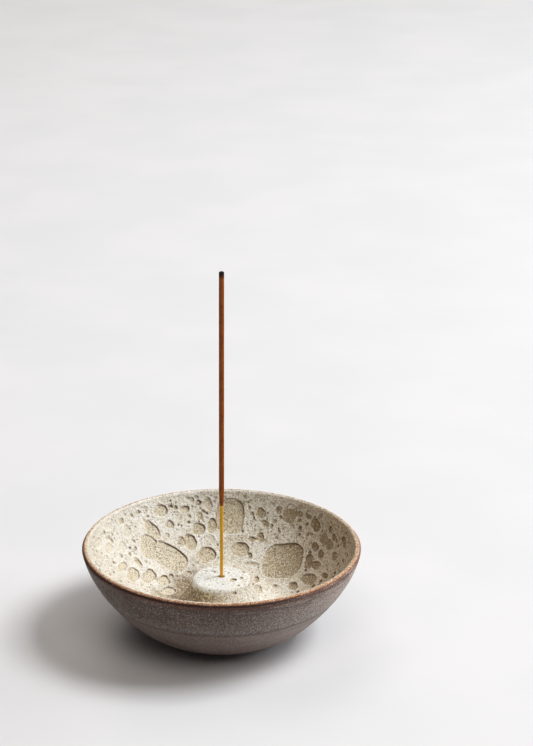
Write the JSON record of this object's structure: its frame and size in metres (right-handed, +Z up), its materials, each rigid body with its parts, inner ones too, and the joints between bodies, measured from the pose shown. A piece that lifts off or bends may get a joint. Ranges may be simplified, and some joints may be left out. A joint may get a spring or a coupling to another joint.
{
  "type": "incense burner",
  "caption": "Shallow stoneware bowl with a central holder cone, a thick cratered glaze inside, and a stick of incense that lifts out of its socket.",
  "frame": {"origin": "centre of the circle that the bowl's foot stands on", "axes": "+Z up along the stick, +X to the right and +Y to the back"},
  "size_m": [0.13, 0.13, 0.1763],
  "materials": {
    "clay": "matte",
    "cratered_glaze": "satin",
    "speckled_glaze": "satin",
    "wash": "matte",
    "bamboo": "satin",
    "incense": "matte",
    "char": "matte"
  },
  "bodies": {
    "bowl": {"stoneware_bowl": "clay", "holder_cone": "clay", "wall_glaze": "cratered_glaze", "cone_glaze": "cratered_glaze", "outer_glaze": "speckled_glaze", "lower_wash": "wash"},
    "stick": {"bamboo_splint": "bamboo", "incense_paste": "incense", "charred_tip": "char"}
  },
  "joints": [
    {"name": "stick_lift", "type": "slide", "parent": "bowl", "child": "stick", "axis": [0, 0, 1], "range_m": [0, 0.04]}
  ]
}
